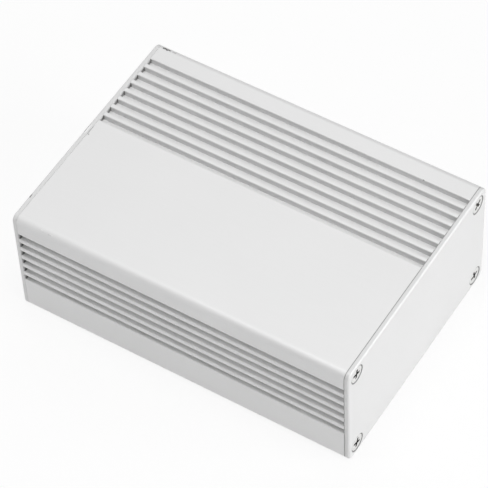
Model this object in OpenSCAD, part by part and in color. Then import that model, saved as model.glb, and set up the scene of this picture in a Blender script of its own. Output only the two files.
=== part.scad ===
// Extruded aluminium enclosure: two identical interlocking half shells, two end plates
// and eight countersunk screws. The long axis is X, the box stands on Z = 0 and the
// origin is the middle of its base. All sizes are in millimetres.

/* [Box] */
// Overall length, over both end plates
box_len = 150; // [60:1:300]
// Overall width
box_w = 105; // [90:1:160]
// Overall height
box_h = 55; // [50:1:90]
// Radius of the four long edges, and of the corners of the end plates
edge_r = 3; // [1:0.5:4]

/* [Walls] */
// Thickness of the plain part of the wide wall
plain_wall = 2.5; // [2:0.1:3.5]
// Wall left under the bottom of a groove
groove_wall = 2; // [1.5:0.1:3]
// Height of the short side wall of each half shell
short_wall_h = 17.2; // [15:0.1:19]

/* [Grooves] */
// Depth of every groove
groove_depth = 2.8; // [1:0.1:3.2]
// Rounding of the groove edges
groove_round = 0.4; // [0.2:0.05:0.6]
// Number of grooves on the wide face
wide_grooves = 8; // [1:1:9]
// Width of a groove on the wide face
wide_groove_w = 2.9; // [1:0.1:3.4]
// Spacing of the grooves on the wide face
wide_pitch = 4.9; // [4.5:0.1:5.5]
// Plain band between the side of the box and the first groove of the wide face
wide_margin = 9.6; // [7:0.1:12]
// Width of a groove on the tall side wall
side_groove_w = 3.1; // [1:0.1:3.5]
// Spacing of the grooves on the tall side wall
side_pitch = 5.15; // [4.6:0.05:6]
// Least plain band above the grooves of the tall side wall
side_margin = 8.8; // [8:0.1:12]

/* [Joint between the half shells] */
// Height of the open groove left between the outer edges of the half shells
joint_gap = 2.8; // [1.5:0.1:3.5]
// Thickness of the tongue on the short side wall
tongue_t = 0.9; // [0.6:0.1:1.2]
// How far the tongue enters the slot of the tall side wall
tongue_entry = 0.8; // [0.4:0.1:1.2]
// Clearance on each side and at the tip of the tongue
tongue_gap = 0.15; // [0.1:0.05:0.3]

/* [Circuit board guides] */
// Height of a guide slot
guide_slot = 1.8; // [1.2:0.1:2.6]
// Thickness of the ribs above and below a guide slot
guide_rib = 1.2; // [0.8:0.1:1.8]
// Depth of a guide slot
guide_depth = 2.2; // [1.5:0.1:3]
// Distance of the first guide slot from the top and the bottom of the box
guide_edge = 12.5; // [12:0.1:14]

/* [End plates] */
// Thickness of an end plate
plate_t = 2; // [2:0.1:4]
// Chamfer around the outer face of an end plate
plate_chamfer = 0.5; // [0.1:0.05:0.6]
// Chamfer around the inner face, which shows as a fine line beside the shells
plate_inner_chamfer = 0.2; // [0.1:0.05:0.4]

/* [Screws] */
// Thread diameter
screw_d = 4; // [3:0.5:4.5]
// Length over the flat head
screw_len = 10; // [6:1:16]
// Diameter of the countersunk head
head_d = 7.6; // [6:0.1:8.6]
// Least depth of the head under the face of the plate
head_sink = 0.2; // [0:0.05:0.4]
// Distance of the screws from the sides of the box
screw_side = 6.3; // [5.5:0.1:8]
// Distance of the screws from the top and the bottom of the box
screw_edge = 5.1; // [4.8:0.1:7]
// Clearance around the thread and under the head
screw_gap = 0.1; // [0.05:0.05:0.2]
// Wall around a screw channel
channel_wall = 2; // [1.5:0.1:2.5]
// Width of the slit that opens a screw channel to the inside
channel_slit = 2.4; // [1.5:0.1:3]
// Span of the cross recess in the head
recess_span = 4.8; // [3:0.1:5]
// Width of the arms of the cross recess
recess_w = 1.1; // [0.6:0.1:1.2]
// Depth of the cross recess
recess_depth = 1.5; // [0.8:0.1:1.8]

/* [Hidden] */

$fn = 48;
// Overlap of cutting shapes past the faces that they cut
cut = 1;

half_w = box_w / 2;
shell_len = box_len - 2 * plate_t;

// Thickness of the side walls and of the grooved part of the wide wall
thick_wall = groove_depth + groove_wall;
inner_half = half_w - thick_wall;

// Heights in the section of the upper half shell, whose tall wall is on the -Y side
tall_base = short_wall_h + joint_gap;
short_base = box_h - short_wall_h;
side_land = side_pitch - side_groove_w;
side_grooves = floor((box_h - side_margin - tall_base) / side_pitch);

// Far and near limits of the grooved band of the wide face
wide_far = half_w - wide_margin;
wide_near = wide_far - (wide_grooves - 1) * wide_pitch - wide_groove_w;

// Four guide slots, level across the box and evenly spread between the two edge distances
guide_levels = 4;
guide_pitch = (box_h - 2 * guide_edge) / (guide_levels - 1);

bore_d = screw_d + 2 * screw_gap;
head_h = (head_d - screw_d) / 2;
// Height of the head over the face: sunk, unless the head is too deep for the plate
head_rise = max(-head_sink, head_h - plate_t);
screw_y = half_w - screw_side;
screw_z = [screw_edge, box_h - screw_edge];
// Turn of each cross recess, as the screws came to stop
recess_turns = [-20, 10, -12, 35];
// Widening of the cross recess for each millimetre up from its bottom
recess_flare = (recess_span - recess_w) / recess_depth;

// Lays a section drawn in Y and Z along the X axis, centred on the origin
module along_x(len) {
    translate([-len / 2, 0, 0])
        rotate([90, 0, 90])
            linear_extrude(len) children();
}

// Outline of the box across its long axis
module box_outline() {
    translate([-half_w + edge_r, 0]) square([box_w - 2 * edge_r, box_h]);
    translate([-half_w, edge_r]) square([box_w, box_h - 2 * edge_r]);
    for (side = [-1, 1], z = [edge_r, box_h - edge_r])
        translate([side * (half_w - edge_r), z]) circle(edge_r);
}

// Section of one groove cut down from the line Y = 0, its low-X edge at X = 0
module groove(width) {
    translate([0, -groove_depth]) square([width, groove_depth + cut]);
    difference() {
        translate([-groove_round, -groove_round])
            square([width + 2 * groove_round, groove_round + cut]);
        for (x = [-groove_round, width + groove_round])
            translate([x, -groove_round]) circle(groove_round);
    }
}

// Grooves of the wide face, counted from the short side wall
module wide_face_grooves() {
    for (i = [0:wide_grooves - 1])
        translate([wide_far - wide_groove_w - i * wide_pitch, box_h]) groove(wide_groove_w);
}

// Grooves of the tall side wall, counted up from the joint
module side_wall_grooves() {
    for (i = [0:side_grooves - 1])
        translate([-half_w, tall_base + side_land + i * side_pitch])
            rotate(90) groove(side_groove_w);
}

// Part of the outline that belongs to the upper half shell
module upper_region() {
    translate([-half_w, tall_base]) square([half_w, box_h - tall_base]);
    translate([0, short_base]) square([half_w, short_wall_h]);
}

// Open groove along the joint, cut from the outer edges of both side walls
module joint_grooves() {
    translate([-half_w, short_wall_h]) rotate(90) groove(joint_gap);
    translate([half_w, short_base]) rotate(-90) groove(joint_gap);
}

// Hollow of the box, higher under the plain part of the wide wall
module hollow() {
    plain_end = wide_near - groove_wall;
    translate([-inner_half, 0]) square([inner_half + plain_end, box_h - plain_wall]);
    translate([-inner_half, 0]) square([2 * inner_half, box_h - thick_wall]);
}

// Solid corner that holds a screw channel, on the side given by its sign
module channel_corner(side) {
    radius = bore_d / 2 + channel_wall;
    centre = [side * screw_y, box_h - screw_edge];
    intersection() {
        box_outline();
        union() {
            translate(centre) circle(radius);
            translate([side > 0 ? screw_y : -half_w, box_h - screw_edge - radius])
                square([screw_side, screw_edge + radius]);
            translate([side > 0 ? screw_y - radius : -half_w, box_h - screw_edge])
                square([screw_side + radius, screw_edge]);
        }
    }
}

// Bore and inward slit of a screw channel
module channel_cut(side) {
    reach = bore_d / 2 + channel_wall + cut;
    translate([side * screw_y, box_h - screw_edge]) {
        circle(d = bore_d);
        rotate(side > 0 ? -135 : -45)
            translate([0, -channel_slit / 2]) square([reach, channel_slit]);
    }
}

// Pair of ribs that form one guide slot, on the side given by its sign
module guide(side, level) {
    for (rib = [-1, 1])
        translate([side * (inner_half - guide_depth / 2), level + rib * (guide_slot + guide_rib) / 2])
            square([guide_depth, guide_rib], center = true);
}

// Section of the upper half shell, tall wall on the -Y side and short wall on the +Y side
module shell_section() {
    tongue_in = half_w - groove_depth - tongue_t;
    lip_out = -half_w + groove_depth + tongue_t + tongue_gap;
    difference() {
        union() {
            difference() {
                intersection() {
                    box_outline();
                    upper_region();
                }
                hollow();
            }
            for (side = [-1, 1]) channel_corner(side);
            for (i = [0:guide_levels - 2]) guide(-1, box_h - guide_edge - i * guide_pitch);
            guide(1, box_h - guide_edge);
        }
        for (side = [-1, 1]) channel_cut(side);
        wide_face_grooves();
        side_wall_grooves();
        joint_grooves();
        // Slot for the tongue of the other half shell
        translate([-half_w + groove_depth - tongue_gap, tall_base - cut])
            square([tongue_t + 2 * tongue_gap, tongue_entry + tongue_gap + cut]);
    }
    // Tongue of the short wall
    translate([tongue_in, short_base - joint_gap - tongue_entry])
        square([tongue_t, joint_gap + tongue_entry]);
    // Lip of the tall wall, which rests on the other half shell
    translate([lip_out, short_wall_h])
        square([-inner_half - lip_out, joint_gap]);
}

// Half shell with its wide face up
module half_shell() {
    color([0.78, 0.79, 0.80]) along_x(shell_len) shell_section();
}

module upper_shell() {
    half_shell();
}

// The same half shell, turned half a turn about the long axis
module lower_shell() {
    translate([0, 0, box_h]) rotate([180, 0, 0]) half_shell();
}

// End plate without holes, lying flat with its inner face at Z = 0
module plate_blank() {
    // Rounded corners with both edges chamfered
    for (x = [edge_r - half_w, half_w - edge_r], y = [edge_r, box_h - edge_r])
        translate([x, y, 0]) rotate_extrude() chamfered_corner();
    // Bars that run across and up between the corners
    translate([edge_r - half_w, 0, 0]) rotate([90, 0, 90])
        linear_extrude(box_w - 2 * edge_r) chamfered_bar(0, box_h);
    translate([0, box_h - edge_r, 0]) rotate([90, 0, 0])
        linear_extrude(box_h - 2 * edge_r) chamfered_bar(-half_w, half_w);
}

// Section of a rounded corner of a plate, from its centre line out to its chamfered edges
module chamfered_corner() {
    inner = plate_inner_chamfer;
    outer = plate_chamfer;
    polygon([
        [0, 0], [edge_r - inner, 0], [edge_r, inner],
        [edge_r, plate_t - outer], [edge_r - outer, plate_t], [0, plate_t]
    ]);
}

// Section of a plate with chamfered edges, from the first coordinate to the second
module chamfered_bar(from, to) {
    inner = plate_inner_chamfer;
    outer = plate_chamfer;
    polygon([
        [from + inner, 0], [to - inner, 0], [to, inner], [to, plate_t - outer],
        [to - outer, plate_t], [from + outer, plate_t], [from, plate_t - outer], [from, inner]
    ]);
}

// Countersunk hole at 90 degrees, its mouth on the outer face of the plate
module countersink() {
    depth = head_h - head_rise;
    translate([0, 0, -cut]) cylinder(h = plate_t + 2 * cut, d = bore_d);
    translate([0, 0, plate_t - depth])
        cylinder(h = depth + cut, d1 = bore_d, d2 = bore_d + 2 * (depth + cut));
}

// End plate at the +X end
module end_plate() {
    color([0.80, 0.81, 0.82])
        translate([box_len / 2 - plate_t, 0, 0])
            rotate([90, 0, 90])
                difference() {
                    plate_blank();
                    for (y = [-screw_y, screw_y], z = screw_z)
                        translate([y, z, 0]) countersink();
                }
}

module right_end_plate() {
    end_plate();
}

module left_end_plate() {
    mirror([1, 0, 0]) end_plate();
}

// Countersunk screw along Z, its flat head facing up at Z = 0
module screw(recess_turn) {
    tip = screw_d / 8;
    shank_r = screw_d / 2;
    color([0.70, 0.71, 0.72]) difference() {
        // Head, shank and chamfered tip
        rotate_extrude() polygon([
            [0, 0], [head_d / 2, 0], [shank_r, -head_h],
            [shank_r, tip - screw_len], [shank_r - tip, -screw_len], [0, -screw_len]
        ]);
        // Cross recess, whose arms a cone shortens with depth
        intersection() {
            for (arm = [0, 90])
                rotate(recess_turn + arm)
                    translate([-head_d / 2, -recess_w / 2, -recess_depth])
                        cube([head_d, recess_w, recess_depth + cut]);
            translate([0, 0, -recess_depth])
                cylinder(h = recess_depth + cut, d1 = recess_w, d2 = recess_span + recess_flare * cut);
        }
    }
}

// Screw of the +X end, at one of its four corners
module end_screw(corner) {
    y = corner % 2 == 0 ? -screw_y : screw_y;
    z = screw_z[floor(corner / 2)];
    translate([box_len / 2 + head_rise, y, z]) rotate([0, 90, 0]) screw(recess_turns[corner]);
}

upper_shell();
lower_shell();
left_end_plate();
right_end_plate();
for (i = [0:3]) {
    mirror([1, 0, 0]) end_screw(i);
    end_screw(i);
}
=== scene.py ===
import math

import bpy
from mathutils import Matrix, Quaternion, Vector


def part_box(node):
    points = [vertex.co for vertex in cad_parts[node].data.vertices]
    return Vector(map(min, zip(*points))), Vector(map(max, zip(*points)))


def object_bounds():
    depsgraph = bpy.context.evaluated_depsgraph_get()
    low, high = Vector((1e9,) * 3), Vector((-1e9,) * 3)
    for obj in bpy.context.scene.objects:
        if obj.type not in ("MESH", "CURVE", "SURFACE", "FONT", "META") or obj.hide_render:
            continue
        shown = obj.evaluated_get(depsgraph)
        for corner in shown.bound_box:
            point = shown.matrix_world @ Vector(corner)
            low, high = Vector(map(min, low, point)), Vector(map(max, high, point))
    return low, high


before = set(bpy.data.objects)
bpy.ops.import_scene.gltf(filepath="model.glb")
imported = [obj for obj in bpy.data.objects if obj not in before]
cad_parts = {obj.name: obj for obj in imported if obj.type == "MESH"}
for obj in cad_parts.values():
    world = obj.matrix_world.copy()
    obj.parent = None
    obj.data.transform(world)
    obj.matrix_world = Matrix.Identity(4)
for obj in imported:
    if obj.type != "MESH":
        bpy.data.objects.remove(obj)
cad_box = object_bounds()

MM = 0.001

# Camera: direction from the aim point, distance, roll about the view axis and lens
CAM_AZIMUTH = math.radians(34.19)
CAM_ELEVATION = math.radians(51.98)
CAM_ROLL = math.radians(-3.17)
CAM_DISTANCE = 1.100
CAM_AIM = Vector((-0.0029, -0.0008, 0.0275))
CAM_LENS = 206.84
SENSOR = 36.0

# Light: softboxes that face the box, each with its place in metres and power in watts,
# and faint even surroundings
WORLD_STRENGTH = 0.05
SOFTBOX_SIZE = 0.8
SOFTBOXES = {
    "overhead": ((0.10, -0.17, 1.28), 10.4),
    "back": ((-0.45, 0.67, 1.02), 3.1),
    "right": ((1.20, 0.25, 0.48), 9.2),
    "front_left": ((-0.70, -0.93, 0.58), 3.0),
}
FLOOR_SIZE = 8.0
FLOOR_COLOR = (0.92, 0.92, 0.92, 1.0)
FLOOR_GLOW = 0.85

# Finishes
SHELL_COLOR = (0.80, 0.80, 0.80)
PLATE_COLOR = (0.81, 0.81, 0.81)
SCREW_COLOR = (0.78, 0.78, 0.77)
# Dark colour of the dirt marks, also used for painted shade in groove corners, joints, countersinks and
# screw recesses
DIRT_AND_SHADE_COLOR = (0.045, 0.043, 0.04)
BARE_COLOR = (0.93, 0.93, 0.93)
METALLIC = 0.3

# Sizes that the masks follow, taken from the model
HALF_LENGTH = cad_box[1][0]
HALF_WIDTH = cad_box[1][1]
HALF_HEIGHT = cad_box[1][2] / 2
EDGE_RADIUS = 3.0 * MM
PLATE_CHAMFER = 0.5 * MM
GROOVE_DEPTH = 2.8 * MM
# Half width of the part of the wide faces that may be grooved
GROOVED_HALF = 43.5 * MM
PLATE_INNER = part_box("right_end_plate")[0][0]
SCREW_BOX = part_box("right_screw_3")
SCREW_SIDE = abs(SCREW_BOX[0][1] + SCREW_BOX[1][1]) / 2
SCREW_UP = abs(SCREW_BOX[0][2] + SCREW_BOX[1][2]) / 2 - HALF_HEIGHT
HEAD_FACE = SCREW_BOX[1][0]

# Wear: middle and half size of each mark in millimetres, its strength, and whether it is dark
SHELL_MARKS = [
    ((-70.0, 50.3, 54.7), (2.5, 0.5, 0.6), 0.85, True),
    ((-66.6, 50.3, 54.7), (1.5, 0.35, 0.5), 0.4, True),
    ((52.8, 42.8, 54.9), (0.4, 0.35, 0.5), 0.7, True),
    ((-73.0, -0.5, 55.0), (0.3, 2.4, 0.4), 0.4, True),
    ((-72.4, -2.8, 55.0), (0.25, 0.25, 0.3), 0.5, True),
    ((-59.0, -51.9, 54.2), (3.8, 0.2, 0.25), 0.25, True),
    ((-61.5, -51.4, 54.5), (0.8, 0.25, 0.25), 0.7, False),
    ((-57.0, -51.6, 54.4), (1.0, 0.2, 0.25), 0.7, False),
    ((-50.0, -51.6, 54.4), (0.7, 0.2, 0.25), 0.6, False),
]
PLATE_MARKS = [
    ((-74.6, -40.0, 54.8), (0.45, 1.1, 0.6), 0.75, True),
    ((-74.75, -0.5, 54.8), (0.3, 2.5, 0.6), 0.6, True),
    ((-74.1, -0.5, 55.0), (0.25, 2.2, 0.3), 0.9, False),
]


class Nodes:
    """A material's node tree, built with short calls."""

    def __init__(self, name):
        self.material = bpy.data.materials.new(name)
        self.material.use_nodes = True
        self.tree = self.material.node_tree
        self.tree.nodes.clear()

    def add(self, kind, inputs=None, **settings):
        """Adds a node, sets its properties and its inputs: a value, or an output to link."""
        node = self.tree.nodes.new(kind)
        for key, value in settings.items():
            setattr(node, key, value)
        for key, value in (inputs or {}).items():
            if isinstance(value, bpy.types.NodeSocket):
                self.tree.links.new(value, node.inputs[key])
            else:
                node.inputs[key].default_value = value
        return node

    def math(self, operation, *values):
        """Result of one sum on values or outputs."""
        return self.add("ShaderNodeMath", dict(enumerate(values)), operation=operation).outputs[0]

    def remap(self, value, low, high, from_low=0.3, from_high=0.7):
        """Carries a value from one range to another."""
        node = self.add(
            "ShaderNodeMapRange",
            {"Value": value, "From Min": from_low, "From Max": from_high, "To Min": low, "To Max": high},
        )
        return node.outputs["Result"]

    def rise(self, value, start, end):
        """Goes smoothly from 0 at one value to 1 at another, which may be the lower one."""
        node = self.add(
            "ShaderNodeMapRange",
            {"Value": value, "From Min": start, "From Max": end},
            interpolation_type="SMOOTHSTEP",
        )
        return node.outputs["Result"]

    def noise(self, position, scale, detail=2.0, roughness=0.5):
        """Noise at the given scale for each axis, in cycles per metre."""
        stretched = self.add("ShaderNodeMapping", {"Vector": position, "Scale": scale})
        node = self.add(
            "ShaderNodeTexNoise",
            {"Vector": stretched.outputs[0], "Scale": 1.0, "Detail": detail, "Roughness": roughness},
        )
        return node.outputs["Fac"]

    def blend(self, share, low, high):
        """Mix of two colours, each an RGB triple or an output."""
        low, high = (c if isinstance(c, bpy.types.NodeSocket) else c + (1.0,) for c in (low, high))
        return self.add("ShaderNodeMix", {"Factor": share, 6: low, 7: high}, data_type="RGBA").outputs[2]


class Place:
    """Where a point of the surface is on the enclosure, as node outputs in metres."""

    def __init__(self, n):
        self.n = n
        self.position = n.add("ShaderNodeTexCoord").outputs["Object"]
        split = n.add("ShaderNodeSeparateXYZ", {0: self.position}).outputs
        self.x = split[0]
        self.end = n.math("ABSOLUTE", split[0])
        self.side = n.math("ABSOLUTE", split[1])
        self.up = n.math("ABSOLUTE", n.math("SUBTRACT", split[2], HALF_HEIGHT))

    def depth(self):
        """Depth under the rounded outline of the section."""
        n = self.n
        side = n.math("SUBTRACT", self.side, HALF_WIDTH - EDGE_RADIUS)
        up = n.math("SUBTRACT", self.up, HALF_HEIGHT - EDGE_RADIUS)
        corner = n.add(
            "ShaderNodeCombineXYZ", {0: n.math("MAXIMUM", side, 0.0), 1: n.math("MAXIMUM", up, 0.0)}
        ).outputs[0]
        beyond = n.add("ShaderNodeVectorMath", {0: corner}, operation="LENGTH").outputs["Value"]
        within = n.math("MINIMUM", n.math("MAXIMUM", side, up), 0.0)
        return n.math("SUBTRACT", EDGE_RADIUS, n.math("ADD", beyond, within))

    def by_end(self, left, right):
        """One number at the left end of the box and another at the right end."""
        return self.n.remap(self.x, left, right, -20 * MM, 20 * MM)

    def from_screw(self):
        """Distance from the nearest screw's axis."""
        n = self.n
        side = n.math("SUBTRACT", self.side, SCREW_SIDE)
        up = n.math("SUBTRACT", self.up, SCREW_UP)
        offset = n.add("ShaderNodeCombineXYZ", {0: side, 1: up}).outputs[0]
        return n.add("ShaderNodeVectorMath", {0: offset}, operation="LENGTH").outputs["Value"]


def worn(n, place, tint, marks):
    """Adds wear marks to a tint, with uneven outlines."""
    uneven = n.remap(n.noise(place.position, (1500.0, 1500.0, 1500.0), detail=2.0), -0.5, 0.5)
    for middle, half, strength, dark in marks:
        offset = n.add(
            "ShaderNodeVectorMath",
            {0: place.position, 1: tuple(c * MM for c in middle)},
            operation="SUBTRACT",
        ).outputs[0]
        scaled = n.add(
            "ShaderNodeVectorMath", {0: offset, 1: tuple(c * MM for c in half)}, operation="DIVIDE"
        ).outputs[0]
        reach = n.add("ShaderNodeVectorMath", {0: scaled}, operation="LENGTH").outputs["Value"]
        inside = n.rise(n.math("ADD", reach, uneven), 1.15, 0.75)
        share = n.math("MULTIPLY", inside, strength)
        tint = n.blend(share, tint, DIRT_AND_SHADE_COLOR if dark else BARE_COLOR)
    return tint


def metal(n, place, color, roughness, grain_scale, tone=0.012, rough_swing=0.05, bump=0.12):
    """Grained satin metal: its tint, roughness and surface normal."""
    grain = n.noise(place.position, grain_scale, detail=3.0)
    cloud = n.noise(place.position, (22.0, 30.0, 30.0), detail=3.0)
    low = tuple(c * (1 - tone) for c in color)
    high = tuple(min(1.0, c * (1 + tone)) for c in color)
    tint = n.blend(n.remap(n.math("ADD", grain, cloud), 0.0, 1.0, 0.7, 1.3), low, high)
    rough = n.remap(grain, roughness - rough_swing, roughness + rough_swing)
    relief = n.add("ShaderNodeBump", {"Height": grain, "Strength": bump, "Distance": 0.02 * MM})
    return tint, rough, relief.outputs[0]


def close(n, tint, rough, normal, metallic):
    """Ends a material with the metal shader."""
    shader = n.add(
        "ShaderNodeBsdfPrincipled",
        {"Base Color": tint, "Roughness": rough, "Normal": normal, "Metallic": metallic},
    )
    n.add("ShaderNodeOutputMaterial", {"Surface": shader.outputs[0]})
    return n.material


def shell_finish():
    """Silver anodised extrusion with painted shade on the groove walls, most of it at their ends, and a
    painted shade line at the joints with the plates.
    """
    n = Nodes("anodised_extrusion")
    place = Place(n)
    tint, rough, normal = metal(n, place, SHELL_COLOR, 0.58, (60.0, 1500.0, 1500.0))
    depth = place.depth()
    wall = n.math(
        "MULTIPLY",
        n.rise(depth, 0.25 * MM, 0.6 * MM),
        n.rise(depth, GROOVE_DEPTH - 0.02 * MM, GROOVE_DEPTH - 0.3 * MM),
    )
    # Painted shade in the corners where the groove walls meet the end plates, stronger at the left end
    end_corner_shade = n.rise(place.end, PLATE_INNER - 0.8 * MM, PLATE_INNER - 0.2 * MM)
    end_corner_shade = n.math("MULTIPLY", end_corner_shade, place.by_end(0.75, 0.35))
    # Faint painted shade on the groove walls of the wide faces
    wide_wall_shade = n.math("MULTIPLY", n.rise(place.side, GROOVED_HALF + 0.5 * MM, GROOVED_HALF), 0.12)
    groove_shade = n.math("MULTIPLY", wall, n.math("MAXIMUM", end_corner_shade, wide_wall_shade))
    # Painted shade line along the shell's end at the joint with the plates, stronger at the right end
    joint_shade = n.rise(place.end, PLATE_INNER - 0.15 * MM, PLATE_INNER - 0.05 * MM)
    joint_shade = n.math("MULTIPLY", joint_shade, place.by_end(0.1, 0.5))
    tint = worn(n, place, tint, SHELL_MARKS)
    tint = n.blend(n.math("MAXIMUM", groove_shade, joint_shade), tint, DIRT_AND_SHADE_COLOR)
    return close(n, tint, rough, normal, METALLIC)


def plate_finish():
    """Matt anodised sheet with slightly darker chamfered rims, wear marks, and painted shade in the
    countersinks, along the joint and at the groove ends.
    """
    n = Nodes("anodised_plate")
    place = Place(n)
    tint, rough, normal = metal(n, place, PLATE_COLOR, 0.58, (1800.0, 1800.0, 1800.0))
    depth = place.depth()
    chamfer_start = HALF_LENGTH - PLATE_CHAMFER
    # Slightly darker along the outer chamfered rim
    rim = n.math(
        "MULTIPLY",
        n.rise(place.end, chamfer_start + 0.05 * MM, chamfer_start),
        n.rise(depth, 0.15 * MM, 0.05 * MM),
    )
    tint = n.blend(n.math("MULTIPLY", rim, 0.1), tint, DIRT_AND_SHADE_COLOR)
    tint = worn(n, place, tint, PLATE_MARKS)
    from_screw = place.from_screw()
    # Painted shade in the countersink round each screw head
    sink_shade = n.math(
        "MULTIPLY",
        n.rise(from_screw, 4.3 * MM, 4.2 * MM),
        n.rise(place.end, HALF_LENGTH - 0.02 * MM, HALF_LENGTH - 0.1 * MM),
    )
    sink_shade = n.math("MULTIPLY", sink_shade, 0.75)
    # Painted shade line round the countersink's mouth
    lip_shade = n.math("MULTIPLY", n.rise(from_screw, 4.35 * MM, 4.15 * MM), 0.3)
    # Painted shade line in the plate's inner chamfer along the joint with the shell, stronger at the right
    # end
    joint_shade = n.rise(place.end, PLATE_INNER + 0.2 * MM, PLATE_INNER + 0.1 * MM)
    joint_shade = n.math("MULTIPLY", joint_shade, place.by_end(0.1, 0.5))
    # Painted shade on the plate's inner face where it closes the grooves, stronger at the left end
    groove_end_shade = n.math(
        "MULTIPLY",
        n.rise(place.end, PLATE_INNER + 0.04 * MM, PLATE_INNER + 0.02 * MM),
        n.math(
            "MULTIPLY",
            n.rise(depth, 0.6 * MM, 1.6 * MM),
            n.rise(depth, GROOVE_DEPTH + 0.5 * MM, GROOVE_DEPTH + 0.1 * MM),
        ),
    )
    groove_end_shade = n.math("MULTIPLY", groove_end_shade, place.by_end(0.7, 0.4))
    # All painted shade of the plate: countersinks, joint line and groove ends
    dark = n.math("MAXIMUM", n.math("MAXIMUM", sink_shade, lip_shade), n.math("MAXIMUM", joint_shade, groove_end_shade))
    tint = n.blend(dark, tint, DIRT_AND_SHADE_COLOR)
    return close(n, tint, rough, normal, METALLIC)


def screw_finish():
    """Plated steel, with painted shade inside the cross recess and round the head's rim."""
    n = Nodes("plated_screw")
    place = Place(n)
    tint, rough, normal = metal(n, place, SCREW_COLOR, 0.3, (900.0, 900.0, 900.0))
    from_screw = place.from_screw()
    # Painted shade inside the cross recess
    recess = n.math(
        "MULTIPLY",
        n.rise(place.end, HEAD_FACE - 0.02 * MM, HEAD_FACE - 0.12 * MM),
        n.rise(from_screw, 2.9 * MM, 2.7 * MM),
    )
    # Painted shade line round the head's rim
    head_rim_shade = n.rise(from_screw, 3.55 * MM, 3.75 * MM)
    tint = n.blend(n.math("MAXIMUM", recess, head_rim_shade), tint, DIRT_AND_SHADE_COLOR)
    return close(n, tint, rough, normal, 0.9)


def assign(node_names, material):
    """Gives a material to carried-over nodes."""
    for name in node_names:
        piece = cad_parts[name]
        piece.data.materials.clear()
        piece.data.materials.append(material)


def finishes():
    """Materials of every piece of the enclosure."""
    assign(["upper_shell", "lower_shell"], shell_finish())
    assign(["left_end_plate", "right_end_plate"], plate_finish())
    assign([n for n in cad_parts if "_screw_" in n], screw_finish())


def stage():
    """White floor that the box stands on, which keeps its shadow."""
    bpy.ops.mesh.primitive_plane_add(size=FLOOR_SIZE, location=(0, 0, cad_box[0][2] - 0.02 * MM))
    floor = bpy.context.object
    floor.name = "floor"
    n = Nodes("floor")
    path = n.add("ShaderNodeLightPath").outputs
    seen = n.math("MAXIMUM", path["Is Camera Ray"], path["Is Glossy Ray"])
    seen = n.math("MAXIMUM", seen, path["Is Transmission Ray"])
    paint = n.add("ShaderNodeBsdfDiffuse", {"Color": FLOOR_COLOR})
    white = n.add("ShaderNodeEmission", {"Strength": 1.0})
    mixed = n.add(
        "ShaderNodeMixShader",
        {0: n.math("MULTIPLY", seen, FLOOR_GLOW), 1: paint.outputs[0], 2: white.outputs[0]},
    )
    n.add("ShaderNodeOutputMaterial", {"Surface": mixed.outputs[0]})
    floor.data.materials.append(n.material)


def softbox(name, place, power):
    """Square area lamp at a place, facing the middle of the box."""
    data = bpy.data.lights.new(name, "AREA")
    data.shape = "SQUARE"
    data.size = SOFTBOX_SIZE
    data.energy = power
    lamp = bpy.data.objects.new(name, data)
    bpy.context.scene.collection.objects.link(lamp)
    lamp.location = place
    inward = Vector((0, 0, HALF_HEIGHT)) - lamp.location
    lamp.rotation_euler = inward.to_track_quat("-Z", "Y").to_euler()


def lights():
    """Faint even surroundings and the softboxes."""
    world = bpy.data.worlds.new("studio")
    bpy.context.scene.world = world
    world.use_nodes = True
    background = world.node_tree.nodes["Background"]
    background.inputs["Color"].default_value = (1.0, 1.0, 1.0, 1.0)
    background.inputs["Strength"].default_value = WORLD_STRENGTH
    for name, (place, power) in SOFTBOXES.items():
        softbox(name, place, power)


def camera():
    """Camera at the photograph's viewing angle."""
    data = bpy.data.cameras.new("camera")
    data.lens = CAM_LENS
    data.sensor_width = SENSOR
    data.sensor_fit = "HORIZONTAL"
    data.clip_end = 20.0
    view = bpy.data.objects.new("camera", data)
    bpy.context.scene.collection.objects.link(view)
    flat = math.cos(CAM_ELEVATION)
    outward = Vector((math.sin(CAM_AZIMUTH) * flat, -math.cos(CAM_AZIMUTH) * flat, math.sin(CAM_ELEVATION)))
    view.location = CAM_AIM + CAM_DISTANCE * outward
    turn = (-outward).to_track_quat("-Z", "Y") @ Quaternion((0, 0, 1), CAM_ROLL)
    view.rotation_euler = turn.to_euler()
    bpy.context.scene.camera = view


finishes()
stage()
lights()
camera()

bpy.context.scene.view_settings.view_transform = "Standard"
